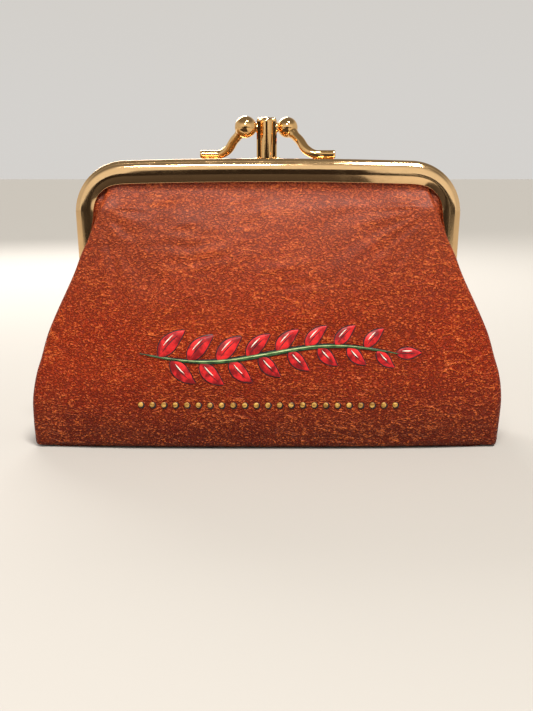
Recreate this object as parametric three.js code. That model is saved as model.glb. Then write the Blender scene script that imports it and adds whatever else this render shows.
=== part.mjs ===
// A two-compartment kiss-lock coin purse in millimetres, standing on its base.
// +Z is up, the front faces -Y, and the origin is the middle of the base at its lowest face.
// Three nested metal frames share one hinge line through a rivet at each side. The middle frame
// carries the divider and the clasp post; the front and rear frames each carry a ball on a bent arm.
import * as THREE from "three";

// ---------- driving dimensions ----------
const BASE_HALF = 61.5; // widest half width of the bag
const BELLY = 18.3; // deepest point of a panel in front of the divider
const LEATHER = 1.2; // leather thickness
const CLOTH = 0.5; // lining thickness
const GAP = 0.3; // clearance between separate pieces

const FRAME_HALF = 50; // outer half width of the frames
const FRAME_TOP = 75.4; // crown of the outer frames
const FRAME_CORNER = 14; // outer corner radius
const FRAME_CROWN = 0.8; // rise of the top bar between its corners
const ARM_END = 43; // where the frame arms stop
const ARM_TOE_IN = 0.8; // how far the arm ends lean towards each other
const OUTER_BACK = 2.4; // an outer frame starts this far from the middle plane
const OUTER_FRONT = 7.15; // and ends this far from it
const BAND = 6; // height of the frame band
const MIDDLE_HALF = 1.8; // half thickness of the middle frame
const MIDDLE_DROP = 0.4; // the middle frame sits this much inside the outer ones

const HINGE_Z = 40; // height of the hinge line, which runs along X at y = 0
const RIVET_R = 1.0;
const RIVET_HEAD_R = 1.9;
const RIVET_HEAD = 0.7;
const EYE_R = 3.0; // round eye of a hinge lug
const LUG_T = 0.8; // lug thickness along X
const LUG_TOP = 50;
const LUG_FRONT_X = 44.9; // inner face of the front frame's lug; the others lie outside it
const LUG_PITCH = LUG_T + GAP;

const BALL_R = 2.7;
const BALL = new THREE.Vector3(5.9, 1.9, 84.3); // the front frame's ball, just behind the post
const ROD_R = 1.05; // clasp arm rod
const POST_HALF = 2.65;
const POST_TOP = 86.0;

const UPPER_BOTTOM = 48; // the panel above this height moves with its frame
const LOWER_TOP = 31; // the panel below this height stays with the base
const BASE_T = 1.2;

// ---------- small helpers ----------
// Smooth curve through [height, value] knots, flat outside them.
function throughKnots(knots, z) {
  const last = knots.length - 1;
  if (z <= knots[0][0]) return knots[0][1];
  if (z >= knots[last][0]) return knots[last][1];
  const i = knots.findIndex((knot) => knot[0] > z) - 1;
  const slope = (a, b) => (knots[b][1] - knots[a][1]) / (knots[b][0] - knots[a][0]);
  const tangent = (k) => slope(Math.max(k - 1, 0), Math.min(k + 1, last));
  const span = knots[i + 1][0] - knots[i][0];
  const t = (z - knots[i][0]) / span;
  const rise = knots[i + 1][1] - knots[i][1];
  const ease = t * t * (3 - 2 * t);
  const lean = t * (1 - t) * ((1 - t) * tangent(i) - t * tangent(i + 1)) * span;
  return knots[i][1] + rise * ease + lean;
}

const mix = (a, b, t) => a + (b - a) * Math.min(Math.max(t, 0), 1);

const root = new THREE.Group();

const finishes = {
  gold: { color: 0xd9ad68, metalness: 1, roughness: 0.18 },
  leather: { color: 0x9a4526, metalness: 0, roughness: 0.5 },
  cloth: { color: 0x2c2622, metalness: 0, roughness: 0.9 },
  board: { color: 0x8d7b62, metalness: 0, roughness: 0.9 },
};

function add(name, geometry, finish) {
  const mesh = new THREE.Mesh(geometry, new THREE.MeshStandardMaterial(finishes[finish]));
  mesh.name = name;
  root.add(mesh);
  return mesh;
}

// The same piece on the other side of a middle plane.
function addMirrored(name, geometry, finish, axis) {
  add(name, geometry.clone(), finish).scale[axis] = -1;
}

// A bent sheet. The outer face is at depth(x, z) in front of the middle plane, and the inner
// face lies one thickness behind it along the surface's own normal.
function sheet({ half, depth, bottom, top, thickness, inset = 0, across = 14, up = 8 }) {
  const box = new THREE.BoxGeometry(2, 1, 1, across, 1, up);
  const at = box.getAttribute("position");
  const step = 0.05;
  for (let i = 0; i < at.count; i += 1) {
    const z = mix(bottom, top, at.getZ(i) + 0.5);
    const x = at.getX(i) * half(z);
    const alongX = new THREE.Vector3(2 * step, depth(x - step, z) - depth(x + step, z), 0);
    const alongZ = new THREE.Vector3(0, depth(x, z - step) - depth(x, z + step), 2 * step);
    const inward = alongZ.cross(alongX).normalize();
    const back = inset + (at.getY(i) + 0.5) * thickness;
    at.setXYZ(i, x + inward.x * back, -depth(x, z) + inward.y * back, z + inward.z * back);
  }
  return box;
}

// ---------- the bag's shape ----------
// Half width of the bag at a height: nearly upright at the base, drawn in towards the frame.
const bagHalf = (z) =>
  throughKnots(
    [[0, 59.6], [6, 61.1], [14, BASE_HALF], [24, 59.6], [36, 55.4], [48, 50.1], [57, 45.8]],
    z,
  );

// Depth of a panel on its middle line, and along its side edge.
const middleDepth = (z) =>
  throughKnots([[0, 15.2], [5, 17.2], [15, BELLY], [28, 17.6], [42, 14.6], [56, 9.2], [68, 5.8], [74, 5.7]], z);
const edgeDepth = (z) =>
  throughKnots([[0, 13.2], [8, 13.8], [24, 12.8], [36, 10.8], [47, 9.1]], z);

const lowerDepth = (x, z) => {
  const share = Math.min(Math.abs(x) / bagHalf(z), 1);
  return mix(middleDepth(z), edgeDepth(z), share ** 3.2);
};

// Above the hinge a panel lies inside the frame's arch, at the depth of the channel.
const CHANNEL_DEPTH = 5.7;
const CHANNEL_HALF = 40; // the panel lies at channel depth from here outwards
const upperDepth = (x, z) => mix(middleDepth(z), CHANNEL_DEPTH, (Math.abs(x) / CHANNEL_HALF) ** 2.4);

// ---------- the frames ----------
// Half width of the frame's outer line at a height, moved inwards by inset.
function archHalf(z, inset) {
  const centreZ = FRAME_TOP - FRAME_CROWN - FRAME_CORNER;
  const centreX = FRAME_HALF - FRAME_CORNER;
  const rise = Math.min(Math.max(z - centreZ, 0), FRAME_CORNER - inset);
  return centreX + Math.sqrt((FRAME_CORNER - inset) ** 2 - rise ** 2);
}

// The outer line of a frame: up the left arm, over the crowned top bar and down the right arm.
// Most of its sections lie round the corners.
const ARM_STEPS = 2;
const CORNER_STEPS = 9;
const BAR_STEPS = 12;
const ARCH_STEPS = 2 * (ARM_STEPS + CORNER_STEPS) + BAR_STEPS;

class ArchCurve extends THREE.Curve {
  constructor(drop) {
    super();
    const half = FRAME_HALF - drop;
    const radius = FRAME_CORNER - drop;
    const barHalf = half - radius;
    const shoulder = FRAME_TOP - FRAME_CROWN - FRAME_CORNER;
    const armEnd = new THREE.Vector3(half - ARM_TOE_IN, 0, ARM_END);
    const armTop = new THREE.Vector3(half, 0, shoulder);
    const barEnd = new THREE.Vector3(barHalf, 0, shoulder + radius);
    this.arm = new THREE.LineCurve3(armEnd, armTop);
    this.cornerAt = (angle) =>
      new THREE.Vector3(barHalf + radius * Math.cos(angle), 0, shoulder + radius * Math.sin(angle));
    const crown = new THREE.Vector3(0, 0, barEnd.z + 2 * FRAME_CROWN);
    const farEnd = new THREE.Vector3(-barEnd.x, 0, barEnd.z);
    this.bar = new THREE.QuadraticBezierCurve3(farEnd, crown, barEnd);
  }

  getPoint(t) {
    const side = t < 0.5 ? -1 : 1;
    const fromArm = Math.min(t, 1 - t) * ARCH_STEPS;
    const barStart = ARM_STEPS + CORNER_STEPS;
    if (fromArm > barStart) return this.bar.getPoint((t * ARCH_STEPS - barStart) / BAR_STEPS);
    const point =
      fromArm < ARM_STEPS ? this.arm.getPoint(fromArm / ARM_STEPS) : this.cornerAt(((fromArm - ARM_STEPS) / CORNER_STEPS) * (Math.PI / 2));
    return point.setX(point.x * side);
  }

  getPointAt(t) {
    return this.getPoint(t);
  }

  getTangentAt(t) {
    return this.getTangent(t);
  }
}

// Sweeps a profile along a frame's outer line. The profile's first coordinate is the depth in
// front of the middle plane, and its second is the distance inwards from the outer line.
function sweepArch(profile, drop = 0) {
  const shape = new THREE.Shape(profile.map(([depth, inwards]) => new THREE.Vector2(depth, inwards)));
  const options = { steps: ARCH_STEPS, extrudePath: new ArchCurve(drop), bevelEnabled: false };
  return new THREE.ExtrudeGeometry(shape, options);
}

const WALL = 0.7;
const outerProfile = [
  [OUTER_BACK, 0.5],
  [OUTER_BACK + 0.5, 0],
  [5.5, 0],
  [6.6, 0.7],
  [OUTER_FRONT - 0.05, 2.2],
  [OUTER_FRONT, 4.2],
  [OUTER_FRONT - 0.3, BAND],
  [OUTER_FRONT - 0.3 - WALL, BAND],
  [OUTER_FRONT - WALL - 0.1, 2.2],
  [5.8, 1],
  [OUTER_BACK + WALL, 1],
  [OUTER_BACK + WALL, BAND - 0.6],
  [OUTER_BACK, BAND - 0.6],
];
const middleProfile = [
  [-MIDDLE_HALF, 0.4],
  [-MIDDLE_HALF + 0.5, 0],
  [MIDDLE_HALF - 0.5, 0],
  [MIDDLE_HALF, 0.4],
  [MIDDLE_HALF, BAND - 1],
  [MIDDLE_HALF - WALL, BAND - 1],
  [MIDDLE_HALF - WALL, 0.9],
  [-MIDDLE_HALF + WALL, 0.9],
  [-MIDDLE_HALF + WALL, BAND - 1],
  [-MIDDLE_HALF, BAND - 1],
];

// ---------- front and rear sets, mirror images of each other ----------
function addPair(piece, geometry, finish) {
  add("front_" + piece, geometry, finish);
  addMirrored("rear_" + piece, geometry, finish, "y");
}

function channels() {
  addPair("frame", sweepArch(outerProfile), "gold");
  add("middle_frame", sweepArch(middleProfile, MIDDLE_DROP), "gold");
}

// Paper cord pressed into a channel behind the leather's edge. It stops above the hinge lugs.
function channelCord() {
  const half = (z) => archHalf(z, 1.6);
  const ring = new THREE.Shape();
  const inner = BAND - 1;
  const bottom = LUG_TOP + 1;
  const heights = [bottom, 60.6, 64, 67, 70, 72, 72.9];
  ring.moveTo(-half(bottom), bottom);
  heights.slice(1).forEach((z) => ring.lineTo(-half(z), z));
  [...heights].reverse().forEach((z) => ring.lineTo(half(z), z));
  const innerHeights = [bottom, 60.6, 64, 67, 69];
  innerHeights.forEach((z) => ring.lineTo(archHalf(z, inner), z));
  [...innerHeights].reverse().forEach((z) => ring.lineTo(-archHalf(z, inner), z));
  const cord = new THREE.ExtrudeGeometry(ring, { depth: 0.8, bevelEnabled: false });
  cord.rotateX(Math.PI / 2).translate(0, -OUTER_BACK - WALL - 0.15, 0);
  return cord;
}

function outerPanels() {
  const upper = { half: (z) => (z > 52 ? archHalf(z, 2.1) : 42.6), depth: upperDepth };
  const tuck = FRAME_TOP - FRAME_CROWN - 2.2;
  addPair(
    "panel_upper",
    sheet({ ...upper, bottom: UPPER_BOTTOM, top: tuck, thickness: LEATHER, up: 11 }),
    "leather",
  );
  const fold = { half: bagHalf, depth: lowerDepth, thickness: LEATHER };
  addPair(
    "panel_fold",
    sheet({ ...fold, bottom: LOWER_TOP + GAP, top: UPPER_BOTTOM - GAP, up: 5 }),
    "leather",
  );
  addPair("panel_lower", sheet({ ...fold, bottom: BASE_T + GAP, top: LOWER_TOP, up: 9 }), "leather");
}

function linings() {
  addPair(
    "lining_lower",
    sheet({
      half: (z) => bagHalf(z) - 2.2,
      depth: lowerDepth,
      inset: LEATHER + 0.2,
      bottom: 4,
      top: LOWER_TOP,
      thickness: CLOTH,
      across: 12,
      up: 6,
    }),
    "cloth",
  );
  addPair(
    "lining_upper",
    sheet({
      half: () => 39.5,
      depth: upperDepth,
      inset: LEATHER + 0.2,
      bottom: UPPER_BOTTOM,
      top: 66,
      thickness: CLOTH,
      across: 10,
      up: 4,
    }),
    "cloth",
  );
}

// ---------- divider, sides and base ----------
// The side walls fold inwards to meet the divider; this is the fold's half width at a height.
const SIDE_TOP = 34;
const valleyHalf = (z) => mix(bagHalf(3) - 1.6, 43.8, (z - 3) / (SIDE_TOP - 3));

function divider() {
  const half = (z) => (z > 52 ? archHalf(z, MIDDLE_DROP + 1.7) : Math.min(valleyHalf(z) - 0.9, 42.5));
  const flat = () => LEATHER / 2;
  add(
    "divider_panel",
    sheet({ half, depth: flat, bottom: 2.4, top: 72.4, thickness: LEATHER, across: 4, up: 18 }),
    "cloth",
  );
}

function sides() {
  const box = new THREE.BoxGeometry(1, 2, 1, 1, 8, 6);
  const at = box.getAttribute("position");
  for (let i = 0; i < at.count; i += 1) {
    const z = mix(BASE_T + GAP, SIDE_TOP, at.getZ(i) + 0.5);
    const share = Math.abs(at.getY(i));
    const edge = bagHalf(z) - 0.9;
    const x = mix(valleyHalf(z), edge, share) - (0.5 - at.getX(i)) * 0.9;
    at.setXYZ(i, x, at.getY(i) * (edgeDepth(z) - LEATHER - 0.5), z);
  }
  add("side_wall_right", box, "leather");
  addMirrored("side_wall_left", box, "leather", "x");
}

function plate(halfX, halfY, corner, bottom, thickness) {
  const outline = new THREE.Shape();
  const x = halfX - corner;
  const y = halfY - corner;
  outline.absarc(x, y, corner, 0, Math.PI / 2);
  outline.absarc(-x, y, corner, Math.PI / 2, Math.PI);
  outline.absarc(-x, -y, corner, Math.PI, 1.5 * Math.PI);
  outline.absarc(x, -y, corner, 1.5 * Math.PI, 2 * Math.PI);
  const options = { depth: thickness, bevelEnabled: false, curveSegments: 5 };
  return new THREE.ExtrudeGeometry(outline, options).translate(0, 0, bottom);
}

function base() {
  const cornerHalf = bagHalf(0);
  add("base_panel", plate(cornerHalf - 0.2, 14.6, 4, 0, BASE_T), "leather");
  add("base_board", plate(cornerHalf - 4, 11, 3, BASE_T + 0.1, 0.8), "board");
}

// ---------- hinge ----------
// A flat lug: a tab that lies inside a channel from tabNear to tabFar in front of the middle
// plane, running down to a round eye on the hinge line.
function lug(tabNear, tabFar) {
  const outline = new THREE.Shape();
  const shoulder = ARM_END - 0.5;
  outline.moveTo(tabNear, LUG_TOP);
  outline.lineTo(tabFar, LUG_TOP);
  outline.lineTo(tabFar, shoulder);
  outline.absarc(0, HINGE_Z, EYE_R, 0.15, -Math.PI - 0.15, true);
  if (tabNear > 0) outline.absarc(0, HINGE_Z, EYE_R, Math.PI - 0.15, 0.32 * Math.PI, true);
  outline.lineTo(tabNear, shoulder);
  const hole = new THREE.Path();
  hole.absarc(0, HINGE_Z, RIVET_R + 0.05, 0, 2 * Math.PI);
  outline.holes.push(hole);
  const options = { depth: LUG_T, bevelEnabled: false, curveSegments: 7 };
  const plateGeometry = new THREE.ExtrudeGeometry(outline, options);
  // The drawing's x is the depth in front of the middle plane and its y is the height.
  const turn = new THREE.Matrix4().set(0, 0, -1, LUG_T, -1, 0, 0, 0, 0, 1, 0, 0, 0, 0, 0, 1);
  return plateGeometry.applyMatrix4(turn);
}

function lugs() {
  const tabs = [
    ["front", OUTER_BACK + WALL + 0.05, 5.85, 1],
    ["middle", -MIDDLE_HALF + WALL + 0.05, MIDDLE_HALF - WALL - 0.05, 1],
    ["rear", OUTER_BACK + WALL + 0.05, 5.85, -1],
  ];
  tabs.forEach(([which, near, far, facing], place) => {
    for (const [side, sign] of [["right", 1], ["left", -1]]) {
      const mesh = add(which + "_lug_" + side, lug(near, far), "gold");
      mesh.position.x = sign * (LUG_FRONT_X + place * LUG_PITCH);
      mesh.scale.set(sign, facing, 1);
    }
  });
}

function rivets() {
  const inner = LUG_FRONT_X - 0.2;
  const outer = LUG_FRONT_X + 2 * LUG_PITCH + LUG_T + 0.2;
  const profile = [
    [0, inner - RIVET_HEAD],
    [RIVET_HEAD_R - 0.5, inner - RIVET_HEAD],
    [RIVET_HEAD_R, inner - 0.3],
    [RIVET_HEAD_R, inner],
    [RIVET_R, inner],
    [RIVET_R, outer],
    [RIVET_HEAD_R, outer],
    [RIVET_HEAD_R, outer + 0.3],
    [RIVET_HEAD_R - 0.5, outer + RIVET_HEAD],
    [0, outer + RIVET_HEAD],
  ];
  const rivet = new THREE.LatheGeometry(profile.map(([r, h]) => new THREE.Vector2(r, h)), 18);
  rivet.rotateZ(-Math.PI / 2).translate(0, 0, HINGE_Z);
  add("hinge_rivet_right", rivet, "gold");
  addMirrored("hinge_rivet_left", rivet, "gold", "x");
}

// ---------- clasp ----------
// A bent rod: its foot is brazed along the front frame's top bar, and its end meets the ball.
function claspArm() {
  const footY = -4.3;
  const footZ = FRAME_TOP + ROD_R + 0.02;
  const end = new THREE.Vector3(7.6, 0.1, 82.4).sub(BALL).setLength(BALL_R + 0.05).add(BALL);
  const path = new THREE.CatmullRomCurve3([
    new THREE.Vector3(17.6, footY, footZ),
    new THREE.Vector3(12.4, footY, footZ),
    new THREE.Vector3(10.1, footY + 1, footZ + 1.3),
    new THREE.Vector3(8.7, footY + 2.6, footZ + 3.5),
    end,
  ]);
  const round = new THREE.Shape().absarc(0, 0, ROD_R, 0, 2 * Math.PI);
  const options = { steps: 16, extrudePath: path, bevelEnabled: false, curveSegments: 5 };
  return new THREE.ExtrudeGeometry(round, options);
}

function claspBall() {
  return new THREE.SphereGeometry(BALL_R, 16, 12).translate(BALL.x, BALL.y, BALL.z);
}

// The front and rear sets are the same piece turned half round.
function addTurned(piece, geometry, finish) {
  add("front_" + piece, geometry, finish);
  add("rear_" + piece, geometry.clone(), finish).rotation.z = Math.PI;
}

// The post's plan is a flat bar with a rounded rib down its front and back.
function claspPost() {
  const plan = new THREE.Shape();
  const barHalf = 1.0;
  const ribR = 1.7;
  const reach = Math.sqrt(ribR ** 2 - 1.45 ** 2) + 0.6;
  const ribAngle = Math.atan2(1.45, reach - 0.6);
  const bar = (x, y) => plan.lineTo(x, y);
  plan.moveTo(POST_HALF, -barHalf);
  bar(POST_HALF, barHalf);
  bar(1.45, barHalf);
  plan.absarc(0, 0.6, ribR, Math.PI / 2 - ribAngle, Math.PI / 2 + ribAngle);
  bar(-1.45, barHalf);
  bar(-POST_HALF, barHalf);
  bar(-POST_HALF, -barHalf);
  bar(-1.45, -barHalf);
  plan.absarc(0, -0.6, ribR, 1.5 * Math.PI - ribAngle, 1.5 * Math.PI + ribAngle);
  bar(1.45, -barHalf);
  const foot = FRAME_TOP - MIDDLE_DROP + 0.5;
  const options = { depth: POST_TOP - 0.5 - foot, bevelSize: 0.45, bevelThickness: 0.45, bevelOffset: -0.45 };
  const post = new THREE.ExtrudeGeometry(plan, { ...options, bevelSegments: 2, curveSegments: 8 });
  return post.translate(0, 0, foot + 0.45);
}

function clasp() {
  addTurned("clasp_arm", claspArm(), "gold");
  addTurned("clasp_ball", claspBall(), "gold");
  add("clasp_post", claspPost(), "gold");
  add("clasp_post_foot", plate(3.4, 1.7, 0.8, FRAME_TOP - MIDDLE_DROP + 0.05, 0.4), "gold");
}

channels();
addPair("channel_cord", channelCord(), "board");
outerPanels();
linings();
divider();
sides();
base();
lugs();
rivets();
clasp();

export default root;
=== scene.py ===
"""A two-compartment kiss-lock coin purse in painted leather, fitted over its CAD nodes.

Lengths in this file are millimetres in the purse's own frame: +X right, +Y back, +Z up, with the
origin under the middle of the base. They become metres when a mesh is made.
"""
import math

import bmesh
import bpy
import numpy as np
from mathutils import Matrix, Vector, noise


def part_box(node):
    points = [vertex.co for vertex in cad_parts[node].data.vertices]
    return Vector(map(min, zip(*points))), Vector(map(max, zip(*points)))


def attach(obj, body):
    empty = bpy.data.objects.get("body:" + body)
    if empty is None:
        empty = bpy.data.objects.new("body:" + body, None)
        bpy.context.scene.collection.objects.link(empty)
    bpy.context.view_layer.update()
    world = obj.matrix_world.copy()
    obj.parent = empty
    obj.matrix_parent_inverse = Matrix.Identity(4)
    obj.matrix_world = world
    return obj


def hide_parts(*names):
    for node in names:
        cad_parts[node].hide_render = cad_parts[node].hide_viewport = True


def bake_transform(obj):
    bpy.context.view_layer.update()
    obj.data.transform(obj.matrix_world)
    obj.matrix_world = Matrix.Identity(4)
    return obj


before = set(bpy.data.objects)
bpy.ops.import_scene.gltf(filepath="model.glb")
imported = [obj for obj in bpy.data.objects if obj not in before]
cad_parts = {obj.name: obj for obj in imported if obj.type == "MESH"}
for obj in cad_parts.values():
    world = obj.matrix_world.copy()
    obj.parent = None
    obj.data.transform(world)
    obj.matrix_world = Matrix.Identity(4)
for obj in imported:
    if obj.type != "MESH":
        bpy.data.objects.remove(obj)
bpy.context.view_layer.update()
scene = bpy.context.scene
MM = 0.001
scene.view_settings.view_transform = "Standard"


# ---------- sizes ----------
def node_box(name):
    low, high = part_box(name)
    return np.array(low) / MM, np.array(high) / MM


channel_low, channel_high = node_box("front_frame")
FRAME_HALF = channel_high[0] + 0.4  # the plated rim stands a little proud of the pressed channel
FRAME_TOP = channel_high[2]
CHANNEL_FRONT = -channel_low[1]  # depth of the channel's face in front of the middle plane
CHANNEL_BACK = -channel_high[1]
BAND = 6.0  # height of the channel's face along the top
ARM_BAND = 4.9  # and down the arms
CHANNEL_WALL = 0.7
FRAME_CORNER = 13.4  # radius of the outer corners
FRAME_CROWN = 0.55  # rise of the bar's middle above its ends
ARM_END = channel_low[2]
ARM_TOE_IN = 0.8  # how far an arm leans in by its end
middle_high = node_box("middle_frame")[1]
MIDDLE_HALF = middle_high[1]  # half the middle channel's depth
MIDDLE_DROP = FRAME_TOP - middle_high[2]

rivet_low, rivet_high = node_box("hinge_rivet_right")
HINGE_Z = (rivet_low[2] + rivet_high[2]) / 2

LEATHER = 0.7  # pared thickness of the panels
CLOTH = 0.3
TUCK_DEPTH = 5.75  # depth at which the leather enters the channel
TUCK_GAP = 2.2  # the leather's edge stops this far inside the channel's outer line
TUCK_TOP = FRAME_TOP - FRAME_CROWN - TUCK_GAP
ROLL = 2.4  # radius of the roll along the bottom edge
PANEL_FOOT = 0.45  # height of the lowest leather of a panel
GRIP_START = 62  # the frame grips the leather from about this height
SEAM_STEP = 3.5  # the side seam lies this far behind a panel's edge
GUSSET_TOP = 37.0
SOLE_HALF, SOLE_DEPTH, SOLE_CORNER = 57.6, 12.4, 3.2
LINING_FOOT, LINING_TOP = 2.6, 68.4
FLOOR_HALF = 56.5  # half the length of the cloth in a compartment's bottom
FLOOR_NEAR, FLOOR_FAR = 0.9, 12.2  # its depths beside the divider and beside the panel
DIVIDER_HALF, DIVIDER_THICKNESS = 42.5, 1.0


# ---------- curves and easing ----------
def through(knots):
    """A smooth function through (place, value) knots, flat outside them."""
    places, values = np.array(knots, float).T
    slopes = np.gradient(values, places)

    def at(place):
        inside = np.clip(place, places[0], places[-1])
        i = np.clip(np.searchsorted(places, inside, side="right") - 1, 0, len(places) - 2)
        span = places[i + 1] - places[i]
        t = (inside - places[i]) / span
        lean = t * (1 - t) * ((1 - t) * slopes[i] - t * slopes[i + 1]) * span
        return values[i] + (values[i + 1] - values[i]) * t * t * (3 - 2 * t) + lean

    return at


def ease(value, low, high):
    """Rises smoothly from 0 at low to 1 at high."""
    t = np.clip((value - low) / (high - low), 0, 1)
    return t * t * (3 - 2 * t)


def mix(a, b, t):
    return a + (b - a) * t


def hand(side):
    return "right" if side > 0 else "left"


def spline(points, count):
    """count points along a smooth curve through the given ones, evenly by knot."""
    points = np.array(points, float)
    knots = np.arange(len(points))
    places = np.linspace(0, len(points) - 1, count)
    columns = [through(np.column_stack([knots, points[:, k]]))(places) for k in range(points.shape[1])]
    return np.column_stack(columns)


def noise_at(x, y, z=0.0):
    """Smooth noise for arrays of places, about -1 to 1."""
    x, y, z = np.broadcast_arrays(np.asarray(x, float), y, z)
    values = [noise.noise(Vector(place)) for place in zip(x.ravel(), y.ravel(), z.ravel())]
    return np.array(values).reshape(x.shape)


# ---------- mesh making ----------
def in_scene(name, data):
    """Puts a mesh, light or camera in the scene as an object."""
    made = bpy.data.objects.new(name, data)
    scene.collection.objects.link(made)
    return made


def plain_mesh(name, points, edges, faces):
    mesh = bpy.data.meshes.new(name)
    mesh.from_pydata([tuple(point) for point in np.asarray(points) * MM], edges, [tuple(f) for f in faces])
    return mesh


def piece(name, points, faces, material):
    mesh = plain_mesh(name, points, [], faces)
    mesh.polygons.foreach_set("use_smooth", [True] * len(mesh.polygons))
    mesh.materials.append(material)
    return in_scene(name, mesh)


def grid_faces(rows, columns, closed=False, first=0):
    """Quads of a grid of points held row by row; closed joins the last column to the first."""
    last = columns if closed else columns - 1
    return [
        tuple(first + k for k in (
            r * columns + c, r * columns + (c + 1) % columns,
            (r + 1) * columns + (c + 1) % columns, (r + 1) * columns + c,
        ))
        for r in range(rows - 1)
        for c in range(last)
    ]


def face_outwards(made):
    work = bmesh.new()
    work.from_mesh(made.data)
    bmesh.ops.remove_doubles(work, verts=work.verts, dist=0.002 * MM)
    bmesh.ops.recalc_face_normals(work, faces=work.faces)
    work.to_mesh(made.data)
    work.free()
    return made


def smooth_by_angle(made, degrees=40):
    """Smooth shading with sharp edges where two faces turn by more than the angle."""
    work = bmesh.new()
    work.from_mesh(made.data)
    for edge in work.edges:
        edge.smooth = len(edge.link_faces) == 2 and edge.calc_face_angle(0) < math.radians(degrees)
    work.to_mesh(made.data)
    work.free()
    return made


def grid_normals(grid):
    """Unit normals of a rows x columns x 3 grid."""
    along_rows = np.gradient(grid, axis=0)
    along_columns = np.gradient(grid, axis=1)
    normals = np.cross(along_rows, along_columns)
    return normals / np.maximum(np.linalg.norm(normals, axis=2, keepdims=True), 1e-9)


def sheet_piece(name, grid, thickness, material, inward):
    """A sheet with its outer face on the grid; inward, 1 or -1, is the side that gets the thickness."""
    rows, columns = grid.shape[:2]
    inner = grid - grid_normals(grid) * thickness * inward
    points = np.concatenate([grid.reshape(-1, 3), inner.reshape(-1, 3)])
    count = rows * columns
    outer_faces = grid_faces(rows, columns)
    inner_faces = [tuple(reversed(f)) for f in grid_faces(rows, columns, first=count)]
    index = np.arange(count).reshape(rows, columns)
    rim = np.concatenate([index[0, :], index[1:, -1], index[-1, -2::-1], index[-2:0:-1, 0]])
    rim_faces = [(b, a, a + count, b + count) for a, b in zip(rim, np.roll(rim, -1))]
    made = piece(name, points, outer_faces + inner_faces + rim_faces, material)
    return smooth_by_angle(face_outwards(made), 60)


def swept(name, rings, material, caps=True, angle=40):
    """A closed body through rings of points; edges that turn by more than the angle stay sharp."""
    rings = np.array(rings)
    rows, columns = rings.shape[:2]
    faces = grid_faces(rows, columns, closed=True)
    if caps:
        faces += [tuple(range(columns)), tuple(range((rows - 1) * columns, rows * columns))]
    made = piece(name, rings.reshape(-1, 3), faces, material)
    return smooth_by_angle(face_outwards(made), angle)


def tube_rings(path, radii, sides=20):
    """Rings of points round a path, turned from one to the next without twist."""
    path = np.array(path, float)
    tangents = np.gradient(path, axis=0)
    tangents /= np.linalg.norm(tangents, axis=1, keepdims=True)
    side = np.cross(tangents[0], [0.3, 0.5, 0.8])
    angles = np.linspace(0, 2 * math.pi, sides, endpoint=False)[:, None]
    rings = []
    for point, tangent, radius in zip(path, tangents, radii):
        side = side - tangent * side.dot(tangent)
        side /= np.linalg.norm(side)
        other = np.cross(tangent, side)
        rings.append(point + radius * (np.cos(angles) * side + np.sin(angles) * other))
    return rings


def turned(name, profile, centre, axis, material, sides=40):
    """A body turned from (height, radius) points about an axis; both ends lie on the axis."""
    axis = np.array(axis, float) / np.linalg.norm(axis)
    path = [np.array(centre, float) + axis * height for height, _ in profile]
    across = np.cross(axis, [0.31, 0.53, 0.79])
    across /= np.linalg.norm(across)
    other = np.cross(axis, across)
    angles = np.linspace(0, 2 * math.pi, sides, endpoint=False)[:, None]
    ring = np.cos(angles) * across + np.sin(angles) * other
    rings = [place + ring * radius for place, (_, radius) in zip(path, profile)]
    return swept(name, rings, material, caps=False)


def filleted(corners, steps=5):
    """A closed outline of (x, y, radius) corners with each corner rounded by an arc."""
    outline = []
    count = len(corners)
    for i, (x, y, radius) in enumerate(corners):
        here = np.array([x, y], float)
        if not radius:
            outline.append(here)
            continue
        back = np.array(corners[i - 1][:2]) - here
        ahead = np.array(corners[(i + 1) % count][:2]) - here
        back_length, ahead_length = np.linalg.norm(back), np.linalg.norm(ahead)
        back, ahead = back / back_length, ahead / ahead_length
        half_angle = math.acos(np.clip(back.dot(ahead), -1, 1)) / 2
        reach = min(radius / math.tan(half_angle), 0.49 * back_length, 0.49 * ahead_length)
        start, finish = here + back * reach, here + ahead * reach
        for t in np.linspace(0, 1, steps + 1):
            outline.append((1 - t) ** 2 * start + 2 * t * (1 - t) * here + t * t * finish)
    return np.array(outline)


def finish_modifiers(made):
    """Turns a piece with modifiers into a plain mesh piece of the same name."""
    bpy.context.view_layer.update()
    final = bpy.data.meshes.new_from_object(made.evaluated_get(bpy.context.evaluated_depsgraph_get()))
    made.modifiers.clear()
    made.data = final
    return made


# ---------- node helpers ----------
def node(tree, kind, inputs=None, **settings):
    """Adds a node; inputs maps a socket's name or number to a value or to another node's output."""
    made = tree.nodes.new(kind)
    for key, value in settings.items():
        setattr(made, key, value)
    for key, value in (inputs or {}).items():
        if isinstance(value, bpy.types.NodeSocket):
            tree.links.new(value, made.inputs[key])
        else:
            made.inputs[key].default_value = value
    return made


def object_place(tree):
    return node(tree, "ShaderNodeTexCoord").outputs["Object"]


def math_node(tree, operation, *values):
    return node(tree, "ShaderNodeMath", dict(enumerate(values)), operation=operation).outputs[0]


def vector_math(tree, operation, a, b):
    """Vector arithmetic; SCALE takes its factor from socket 3, the rest take b from socket 1."""
    second = 3 if operation == "SCALE" else 1
    return node(tree, "ShaderNodeVectorMath", {0: a, second: b}, operation=operation).outputs[0]


def weighed_sum(tree, *parts):
    """The sum of (value, weight) parts."""
    total, *rest = [math_node(tree, "MULTIPLY", value, weight) for value, weight in parts]
    for part in rest:
        total = math_node(tree, "ADD", total, part)
    return total


def noise_node(tree, place, scale, **details):
    return node(tree, "ShaderNodeTexNoise", {"Vector": place, "Scale": scale, **details})


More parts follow.
